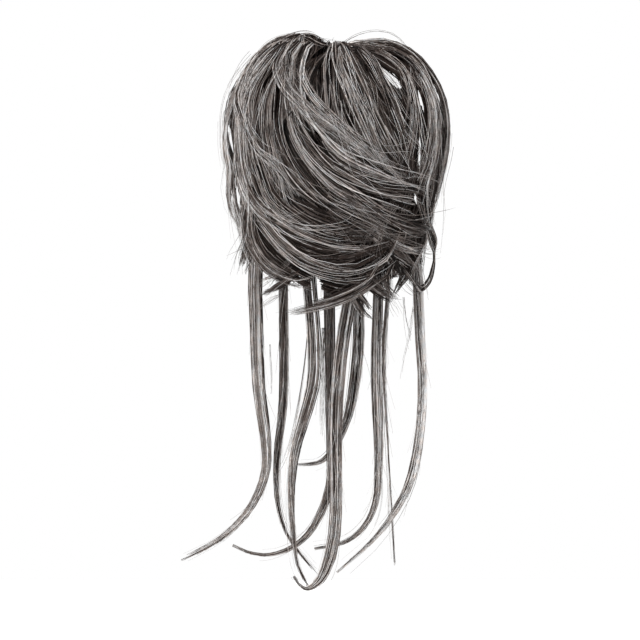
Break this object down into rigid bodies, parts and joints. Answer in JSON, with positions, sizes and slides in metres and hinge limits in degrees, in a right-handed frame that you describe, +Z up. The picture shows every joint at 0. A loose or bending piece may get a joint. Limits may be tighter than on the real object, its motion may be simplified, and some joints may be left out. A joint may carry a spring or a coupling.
{
  "type": "ponytail extension",
  "caption": "Tousled false-hair ponytail piece on an elastic loop: a hollow crown of swept hair locks with long loose tendrils hanging from it.",
  "frame": {"origin": "centre of the elastic loop that the wearer's own hair goes through", "axes": "+Z up along the loop's axis, the hair hangs towards -Z, the front faces -Y and +X is to the right as seen from the front"},
  "size_m": [0.189, 0.1095, 0.3978],
  "materials": {
    "elastic": "matt dark covered elastic",
    "crown_hair": "satin grey false hair, salt and pepper",
    "tendril_hair": "satin grey false hair, salt and pepper, a little lighter"
  },
  "bodies": {
    "root": {"elastic_band": "elastic", "crown_hair": "crown_hair", "tendril_1": "tendril_hair", "tendril_2": "tendril_hair", "tendril_3": "tendril_hair", "tendril_4": "tendril_hair", "tendril_5": "tendril_hair", "tendril_6": "tendril_hair", "tendril_7": "tendril_hair", "tendril_8": "tendril_hair", "tendril_9": "tendril_hair"}
  },
  "joints": []
}
